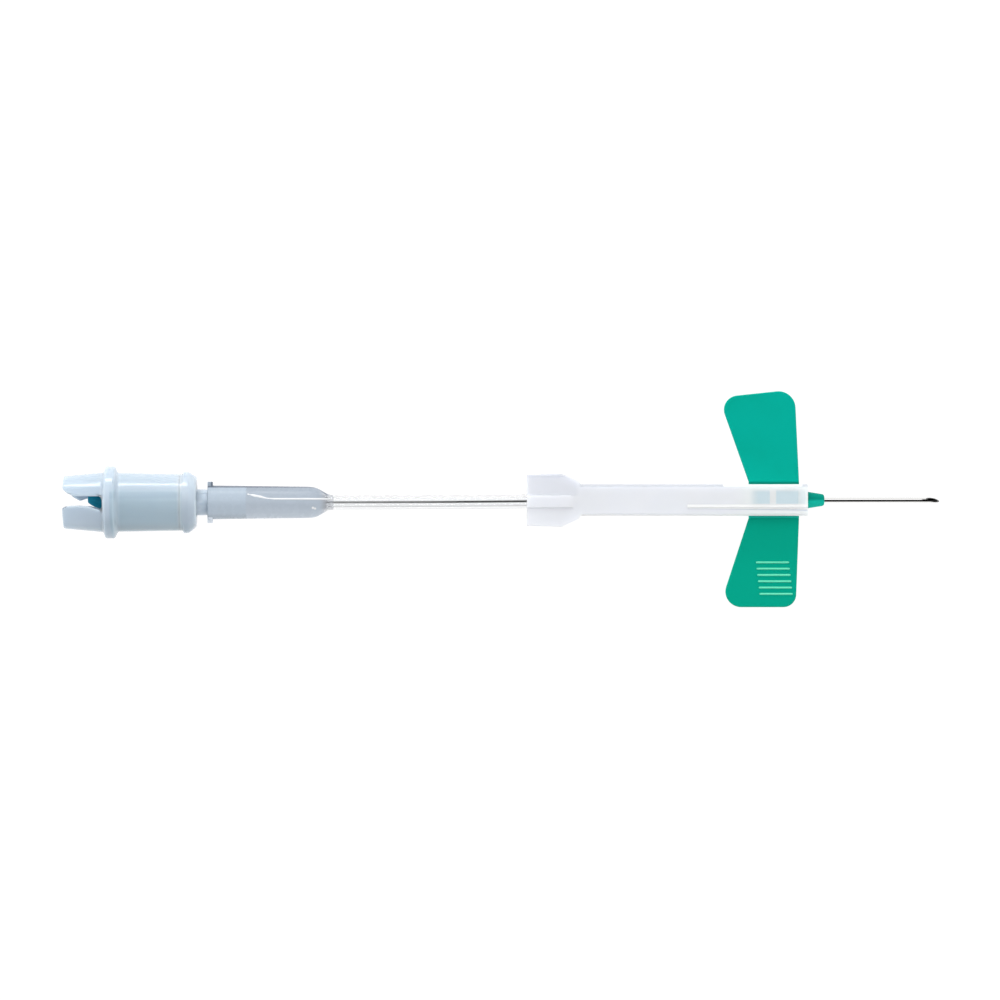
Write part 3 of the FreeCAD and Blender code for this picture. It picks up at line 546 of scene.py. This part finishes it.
def rounded(node, name, body, width, segments=3, angle=32, share=None, shape=None):
    """The node's shape with its moulded edges rounded, as real mouldings have."""
    bm = clean_copy(node)
    weight = bm.edges.layers.float.new("bevel_weight_edge")
    for edge in bm.edges:
        if len(edge.link_faces) != 2:
            continue
        if edge.calc_face_angle(0.0) < math.radians(angle):
            continue
        middle = (edge.verts[0].co + edge.verts[1].co) / 2
        edge[weight] = 1.0 if share is None else share(middle)
    obj = mesh_of(bm, name)
    mod = obj.modifiers.new("round", "BEVEL")
    mod.width = width * MM
    mod.segments = segments
    mod.limit_method = "WEIGHT"
    mod.use_clamp_overlap = False
    mod.miter_outer = "MITER_ARC"
    mesh = bpy.data.meshes.new_from_object(
        obj.evaluated_get(bpy.context.evaluated_depsgraph_get())
    )
    obj.modifiers.clear()
    obj.data = mesh
    keep_inside(mesh, node, 0.75 * width * MM)
    if shape is not None:
        for vert in mesh.vertices:
            vert.co = shape(vert.co)
    mesh.shade_smooth()
    mesh.set_sharp_from_angle(angle=math.radians(angle))
    mod = obj.modifiers.new("flat_faces_stay_flat", "WEIGHTED_NORMAL")
    mod.keep_sharp = True
    mod.weight = 90
    dress(obj, materials[node])
    return stands_for(obj, node, body)


def keep_inside(mesh, node, deepest):
    """Points that left the node's shape, or sank far into it, go back to its skin."""
    bm = bmesh.new()
    bm.from_mesh(nodes[node].data)
    skin = BVHTree.FromBMesh(bm)
    bm.free()
    for vert in mesh.vertices:
        spot, normal, _, far = skin.find_nearest(vert.co)
        if far > deepest or (far > 1e-6 and (vert.co - spot).dot(normal) > 0):
            vert.co = spot
    mesh.update()


def along_rear(spot):
    """How far a point is along the rear group's axis, and from it, in millimetres."""
    local = REAR.inverted() @ spot
    return local.x / MM, math.hypot(local.y, local.z) / MM


def holder_share(spot):
    """The flange's edges are rounded most, the joint with the cap not at all."""
    along, out = along_rear(spot)
    if along > 11.3:
        return 0.0
    if -1.5 < along < 1.5 and out > 4.6:
        return 0.62 if out > 5.4 else 1.0
    return 0.45


def sleeve_share(spot):
    """The grip's narrowing sides meet in crisp edges."""
    x, y = spot.x / MM, spot.y / MM - FRONT_Y
    return 0.0 if 9.0 < x < 14.0 and abs(y) > 2.0 else 1.0


def spine_shape(spot):
    """The grip's raised spine ends a little sooner, and its +Y side lies further in."""
    x, y, z = spot.x / MM, spot.y / MM - FRONT_Y, spot.z / MM
    if z > 4.9 and abs(y) < 1.6 and x < 15.4:
        if x > 12.0:
            x = 11.1 + max(0.0, x - 12.3) * 0.28
        if y > 1.0:
            y -= 0.5
    return Vector((x, y + FRONT_Y, z)) * MM


rounded(
    "holder_shell",
    "holder",
    "holder",
    0.36,
    share=holder_share,
)


def soft_step(value, low, high):
    t = min(1.0, max(0.0, (value - low) / (high - low)))
    return t * t * (3 - 2 * t)


CAP_SKIN = [  # along, radius on the top, and towards +Y and -Y where the lip shows
    (11.80, 2.60, 2.60, 2.60), (11.40, 3.90, 3.90, 3.90), (11.25, 4.55, 4.55, 4.55),
    (11.38, 4.666, 4.666, 4.666), (11.65, 4.688, 4.688, 4.688), (11.9, 4.70, 4.71, 4.71),
    (11.98, 4.70, 4.85, 4.82), (12.04, 4.70, 5.01, 4.97), (12.10, 4.70, 5.06, 5.05),
    (12.2, 4.70, 5.08, 5.08), (12.45, 4.70, 5.07, 5.08), (12.7, 4.69, 5.03, 5.08),
    (12.85, 4.68, 4.99, 5.07), (12.95, 4.67, 4.95, 5.02), (13.1, 4.64, 4.87, 4.92),
    (13.3, 4.60, 4.74, 4.76), (13.5, 4.55, 4.60, 4.60), (13.7, 4.49, 4.48, 4.43),
    (13.85, 4.43, 4.40, 4.30), (13.97, 4.36, 4.33, 4.17), (14.07, 4.28, 4.25, 4.05),
    (14.15, 4.16, 4.14, 3.93), (14.20, 4.0, 4.0, 3.83), (14.21, 3.8, 3.8, 3.75),
    (14.21, 2.60, 2.60, 2.60),
]


def end_cap():
    """The cap: a soft skin over the CAD shape, its lip fading along the top."""
    bm = clean_copy("luer_hub")
    inverse = REAR.inverted()
    for vert in bm.verts:
        local = inverse @ vert.co
        radius = math.hypot(local.y, local.z) / MM
        if radius > 3.9 and local.x > 11.4 * MM:
            local.y *= 3.7 / radius
            local.z *= 3.7 / radius
            local.x = min(max(local.x, 11.9 * MM), 13.9 * MM)
            vert.co = REAR @ local
    sides = 128
    rings = []
    for x, radius, left, right in CAP_SKIN:
        ring = []
        for k in range(sides):
            a = 2 * math.pi * k / sides
            across, up = math.cos(a), math.sin(a)
            low = left + (right - left) * soft_step(-across, -0.3, 0.3)
            r = low + (radius - low) * soft_step(up, 0.25, 0.8)
            ring.append(bm.verts.new(REAR @ (Vector((x, r * across, r * up)) * MM)))
        rings.append(ring)
    for a, b in zip(rings, rings[1:] + rings[:1]):
        for k in range(sides):
            m = (k + 1) % sides
            bm.faces.new((a[k], a[m], b[m], b[k]))
    obj = mesh_of(bm, "end_cap")
    obj.data.shade_smooth()
    obj.data.set_sharp_from_angle(angle=math.radians(38))
    dress(obj, materials["luer_hub"])
    return stands_for(obj, "luer_hub", "holder")


end_cap()
rounded("luer_connector", "connector", "needle_line", 0.14, 3)
rounded(
    "safety_sleeve",
    "sleeve",
    "sleeve",
    0.10,
    2,
    share=sleeve_share,
    shape=spine_shape,
)
rounded("hub", "green_hub", "needle_line", 0.10, 2)


# ------------------------------------------------------------------ connector's ridge
CONNECTOR_LINE = [  # along, radius of the wall there, how far off the top, thickness
    (22.5, 2.65, 1.30, 0.3), (22.7, 2.65, 1.28, 1.2), (23.0, 2.65, 1.22, 0.6),
    (23.4, 2.65, 1.14, 1.3), (23.8, 2.65, 1.06, 1.5), (24.3, 2.64, 0.98, 1.3),
    (24.8, 2.64, 0.88, 1.4), (25.3, 2.63, 0.76, 1.1), (25.8, 2.63, 0.66, 0.8),
    (26.3, 2.62, 0.60, 0.7), (27.0, 2.62, 0.57, 0.9), (29.0, 2.60, 0.56, 0.9),
    (32.7, 2.58, 0.56, 0.9), (33.2, 2.55, 0.56, 0.9), (33.7, 2.46, 0.56, 0.9),
    (34.2, 2.30, 0.56, 0.9), (34.7, 2.04, 0.56, 0.9), (35.1, 1.79, 0.56, 0.9),
    (35.5, 1.57, 0.56, 0.9), (35.8, 1.42, 0.56, 0.9), (36.6, 1.28, 0.54, 0.6),
]


def connector_ridge():
    """A fine moulded ridge that runs along the connector, a little off its top, coloured near white as a painted
    highlight.
    """
    bm = bmesh.new()
    rings = []
    for x, radius, off, k in CONNECTOR_LINE:
        height = math.sqrt(radius * radius - off * off)
        ring = []
        for j in range(12):
            a = 2 * math.pi * j / 12
            ring.append(
                bm.verts.new(
                    REAR
                    @ (
                        Vector((x, off + 0.17 * k * math.cos(a), height + 0.10 * k * math.sin(a)))
                        * MM
                    )
                )
            )
        rings.append(ring)
    for a, b in zip(rings, rings[1:]):
        for j in range(12):
            m = (j + 1) % 12
            bm.faces.new((a[j], a[m], b[m], b[j]))
    bm.faces.new(rings[0][::-1])
    bm.faces.new(rings[-1])
    obj = mesh_of(bm, "connector_ridge")
    obj.data.shade_smooth()
    # near white: a painted highlight along the ridge
    dress(obj, glassy("ridge_painted_highlight", srgb(253, 254, 255), 0.95, 0.12))
    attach(obj, "needle_line")


connector_ridge()


# ------------------------------------------------------------------ wings
def bar(bm, middle, length, width, height, ridge, turn=0.0):
    """A low rounded rib, half sunk into the surface under it."""
    along, around = 14, 12
    rings = []
    cap = width / 2
    for i in range(along + 1):
        s = -1 + 2 * i / along
        s = math.sin(s * math.pi / 2) * length / 2
        over = max(0.0, abs(s) - (length / 2 - cap)) / cap
        k = math.sqrt(max(0.0, 1 - over * over))
        k = max(k, 0.03)
        ring = []
        for j in range(around):
            a = 2 * math.pi * j / around
            across, up = math.cos(a) * width / 2 * k, math.sin(a) * height * k
            spot = Vector(
                (
                    middle[0] + s * math.cos(turn) - across * math.sin(turn),
                    middle[1] + s * math.sin(turn) + across * math.cos(turn),
                    middle[2] + up,
                )
            )
            vert = bm.verts.new(spot * MM)
            # marks the rib's top for its painted highlight
            vert[ridge] = 1.0 if up > 0.25 * height else 0.0
            ring.append(vert)
        rings.append(ring)
    for a, b in zip(rings, rings[1:]):
        for j in range(around):
            m = (j + 1) % around
            bm.faces.new((a[j], a[m], b[m], b[j]))
    bm.faces.new(rings[0][::-1])
    bm.faces.new(rings[-1])


def wing(node, name, sign, ribs):
    bm = clean_copy(node)
    root = FRONT_Y + sign * 3.05
    for k in range(11):
        bmesh.ops.bisect_plane(
            bm,
            geom=bm.verts[:] + bm.edges[:] + bm.faces[:],
            dist=1e-7,
            plane_co=Vector((0, root + sign * (0.04 + 0.08 * k), 0)) * MM,
            plane_no=(0, 1, 0),
        )
    ridge = bm.verts.layers.float.new("ridge")
    for spot, length, turn in ribs:
        bar(bm, (*spot, 2.95), length, 0.34, 0.15, ridge, turn)
    obj = mesh_of(bm, name)
    obj.data.shade_smooth()
    obj.data.set_sharp_from_angle(angle=math.radians(40))
    mod = obj.modifiers.new("flat_faces_stay_flat", "WEIGHTED_NORMAL")
    mod.keep_sharp = True
    mod.weight = 90
    dress(obj, materials[node])
    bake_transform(obj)
    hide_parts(node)
    return obj


LEFT_RIBS = []
RIGHT_RIBS = [((44.9 + 0.12 * k, -10.6 - 1.05 * k), 5.6, 0.0) for k in range(6)]
wing("wing_left", "left_wing", 1, LEFT_RIBS)
wing("wing_right", "right_wing", -1, RIGHT_RIBS)


# ------------------------------------------------------------------ rubber sleeve
def turned(name, profile, sides, matrix):
    """A closed turned piece from (x, radius) pairs, its first and last radius 0."""
    bm = bmesh.new()
    first = bm.verts.new(matrix @ (Vector((profile[0][0], 0, 0)) * MM))
    last = bm.verts.new(matrix @ (Vector((profile[-1][0], 0, 0)) * MM))
    rings = []
    for x, radius in profile[1:-1]:
        rings.append(
            [
                bm.verts.new(
                    matrix
                    @ (
                        Vector(
                            (
                                x,
                                radius * math.cos(2 * math.pi * k / sides),
                                radius * math.sin(2 * math.pi * k / sides),
                            )
                        )
                        * MM
                    )
                )
                for k in range(sides)
            ]
        )
    for k in range(sides):
        m = (k + 1) % sides
        bm.faces.new((first, rings[0][k], rings[0][m]))
        bm.faces.new((last, rings[-1][m], rings[-1][k]))
        for a, b in zip(rings, rings[1:]):
            bm.faces.new((a[k], b[k], b[m], a[m]))
    obj = mesh_of(bm, name)
    obj.data.shade_smooth()
    obj.data.set_sharp_from_angle(angle=math.radians(50))
    return obj


def rubber_profile():
    points = [(-3.7, 0.0), (-3.7, 0.35), (-3.69, 0.48), (-3.65, 0.56), (-3.56, 0.64),
              (-3.3, 0.78), (-3.0, 0.93), (-2.7, 1.05), (-2.4, 1.15), (-2.1, 1.23),
              (-1.8, 1.29), (-1.5, 1.33)]
    for k in range(1, 36):
        x = -1.5 + k * 0.3
        points.append((x, 1.35 + 0.02 * math.sin(k * 1.3)))
    points += [(9.04, 1.36), (9.06, 1.66), (9.2, 1.74), (10.0, 1.75), (10.19, 1.70), (10.2, 0.0)]
    return points


sheath = turned("rubber_sheath", rubber_profile(), 48, REAR)
for vert in sheath.data.vertices:  # the soft tip leans a little to one side
    ahead = max(0.0, (2.3 - (REAR.inverted() @ vert.co).x / MM) / 6.0)
    vert.co.y += 0.50 * MM * ahead * ahead
dress(sheath, materials["rubber_sleeve"])
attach(sheath, "holder")
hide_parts("rubber_sleeve")
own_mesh(sheath)


# ------------------------------------------------------------------ tubing
ROUTE = [
    (-39.565, -0.60, 4.175),
    (-18.519, -0.60, 2.669),
    (3.5, -0.43, 2.36),
    (21.0, -0.22, 2.5),
    (38.5, -0.22, 2.5),
]
TUBE_RAD, TUBE_IN_RAD = 1.175, 0.65


def line_of(points, steps):
    """Points along the smooth line that the route's NURBS spline gives."""
    data = bpy.data.curves.new("route", "CURVE")
    data.dimensions = "3D"
    data.resolution_u = steps
    spline = data.splines.new("NURBS")
    spline.points.add(len(points) - 1)
    for point, spot in zip(spline.points, points):
        point.co = (*(Vector(spot) * MM), 1.0)
    spline.order_u = 3
    spline.use_endpoint_u = True
    curve = link(bpy.data.objects.new("route", data))
    bpy.context.view_layer.update()
    mesh = bpy.data.meshes.new_from_object(
        curve.evaluated_get(bpy.context.evaluated_depsgraph_get())
    )
    line = [v.co.copy() for v in mesh.vertices]
    bpy.data.meshes.remove(mesh)
    bpy.data.objects.remove(curve)
    bpy.data.curves.remove(data)
    return line


def tube_mesh(name, line, outer, inner, sides=64):
    """A hollow tube along the line, its two ends closed by rings."""
    bm = bmesh.new()
    stripe = bm.verts.layers.float.new("stripe")
    flank_shade = bm.verts.layers.float.new("flank_shade")
    loops = {outer: [], inner: []}
    count = len(line)
    for i, spot in enumerate(line):
        along = (line[min(i + 1, count - 1)] - line[max(i - 1, 0)]).normalized()
        side = Vector((0, 1, 0))
        side = (side - along * side.dot(along)).normalized()
        up = side.cross(along).normalized()
        if up.z < 0:
            up = -up
        depth = 0.86 + 0.14 * min(1.0, max(0.0, i / (0.35 * count)))
        for radius, kept in loops.items():
            ring = []
            for k in range(sides):
                a = 2 * math.pi * k / sides
                vert = bm.verts.new(
                    spot + radius * MM * (side * math.cos(a) + up * math.sin(a))
                )
                if radius == inner and abs(a - math.pi / 2) < 2.5 * 2 * math.pi / sides:
                    vert[stripe] = depth
                # painted shade on the flanks, deeper on the -Y side
                if radius == outer:
                    flat = max(0.0, (abs(math.cos(a)) - 0.84) / 0.16)
                    vert[flank_shade] = flat * (0.5 if math.cos(a) > 0 else 1.0)
                ring.append(vert)
            kept.append(ring)
    for radius, rings in loops.items():
        for a, b in zip(rings, rings[1:]):
            for k in range(sides):
                m = (k + 1) % sides
                bm.faces.new((a[k], a[m], b[m], b[k]))
    for end in (0, -1):
        a, b = loops[outer][end], loops[inner][end]
        for k in range(sides):
            m = (k + 1) % sides
            bm.faces.new((a[k], a[m], b[m], b[k]))
    obj = mesh_of(bm, name)
    obj.data.shade_smooth()
    obj.data.set_sharp_from_angle(angle=math.radians(50))
    return obj


line = line_of(ROUTE, 30)
tube = tube_mesh("clear_tube", line, TUBE_RAD, TUBE_IN_RAD)
dress(tube, materials["tubing"])
stands_for(tube, "tubing", "needle_line")


# ------------------------------------------------------------------ stage
def make_floor():
    bm = bmesh.new()
    bmesh.ops.create_circle(bm, cap_ends=True, segments=96, radius=2.5)
    mesh = bpy.data.meshes.new("floor")
    bm.to_mesh(mesh)
    bm.free()
    floor = link(bpy.data.objects.new("floor", mesh))
    t = Tree("pale_floor")
    diffuse = t.new("ShaderNodeBsdfDiffuse")
    diffuse.inputs["Color"].default_value = (0.15, 0.15, 0.15, 1)
    glow = t.new("ShaderNodeEmission")
    glow.inputs["Color"].default_value = (1.0, 1.0, 1.0, 1)
    glow.inputs["Strength"].default_value = 0.93
    add = t.new("ShaderNodeAddShader")
    t.link(diffuse.outputs[0], add.inputs[0])
    t.link(glow.outputs[0], add.inputs[1])
    t.link(add.outputs[0], t.out.inputs["Surface"])
    floor.data.materials.append(t.material)


def make_light(name, spot, target, size, power, color=(1, 1, 1)):
    data = bpy.data.lights.new(name, "AREA")
    data.shape = "RECTANGLE"
    data.size, data.size_y = size
    data.energy = power
    data.color = color
    light = link(bpy.data.objects.new(name, data))
    light.location = spot
    light.rotation_euler = (
        (Vector(target) - Vector(spot)).to_track_quat("-Z", "Y").to_euler()
    )


def make_world():
    """A pale room: lighter on the +Y side, with a dim band from above to the -Y side."""
    world = bpy.data.worlds.new("studio")
    scene.world = world
    world.use_nodes = True
    tree = world.node_tree
    tree.nodes.clear()
    out = tree.nodes.new("ShaderNodeOutputWorld")
    background = tree.nodes.new("ShaderNodeBackground")
    coords = tree.nodes.new("ShaderNodeTexCoord")
    split = tree.nodes.new("ShaderNodeSeparateXYZ")
    tree.links.new(coords.outputs["Generated"], split.inputs[0])

    def ramp(value, a, b, to_a, to_b):
        node = tree.nodes.new("ShaderNodeMapRange")
        node.interpolation_type = "SMOOTHSTEP"
        tree.links.new(value, node.inputs["Value"])
        for key, number in (("From Min", a), ("From Max", b), ("To Min", to_a), ("To Max", to_b)):
            node.inputs[key].default_value = number
        return node.outputs["Result"]

    side = ramp(split.outputs[1], -0.9, 0.9, 0.86, 1.26)
    def calc(operation, first, second):
        node = tree.nodes.new("ShaderNodeMath")
        node.operation = operation
        for socket, value in zip(node.inputs, (first, second)):
            if isinstance(value, bpy.types.NodeSocket):
                tree.links.new(value, socket)
            else:
                socket.default_value = value
        return node.outputs[0]

    aside = calc("ABSOLUTE", calc("SUBTRACT", split.outputs[0], 0.11), 0.0)
    band = calc("MULTIPLY", ramp(aside, 0.10, 0.24, 0.99, 0.0), ramp(split.outputs[1], 0.09, 0.24, 1.0, 0.0))
    toward = tree.nodes.new("ShaderNodeVectorMath")
    toward.operation = "DOT_PRODUCT"
    tree.links.new(coords.outputs["Generated"], toward.inputs[0])
    toward.inputs[1].default_value = (0.65, 0.71, 0.27)
    spot = ramp(toward.outputs["Value"], 0.94, 0.965, 0.0, 0.75)
    both = calc("MULTIPLY", side, calc("SUBTRACT", 1.0, calc("MAXIMUM", band, spot)))
    background.inputs["Color"].default_value = (0.97, 0.985, 1.0, 1)
    tree.links.new(both, background.inputs["Strength"])
    tree.links.new(background.outputs[0], out.inputs["Surface"])


make_floor()
make_world()
make_light("key", (0.05, 0.38, 0.45), (0.0, 0.0, 0.0), (0.6, 0.30), 0.3)
make_light("strip", (-0.13, 0.50, 0.135), (-0.06, 0.0, 0.006), (0.28, 0.076), 0.85)
scene.view_settings.view_transform = "Standard"
scene.view_settings.look = "None"

make_camera()
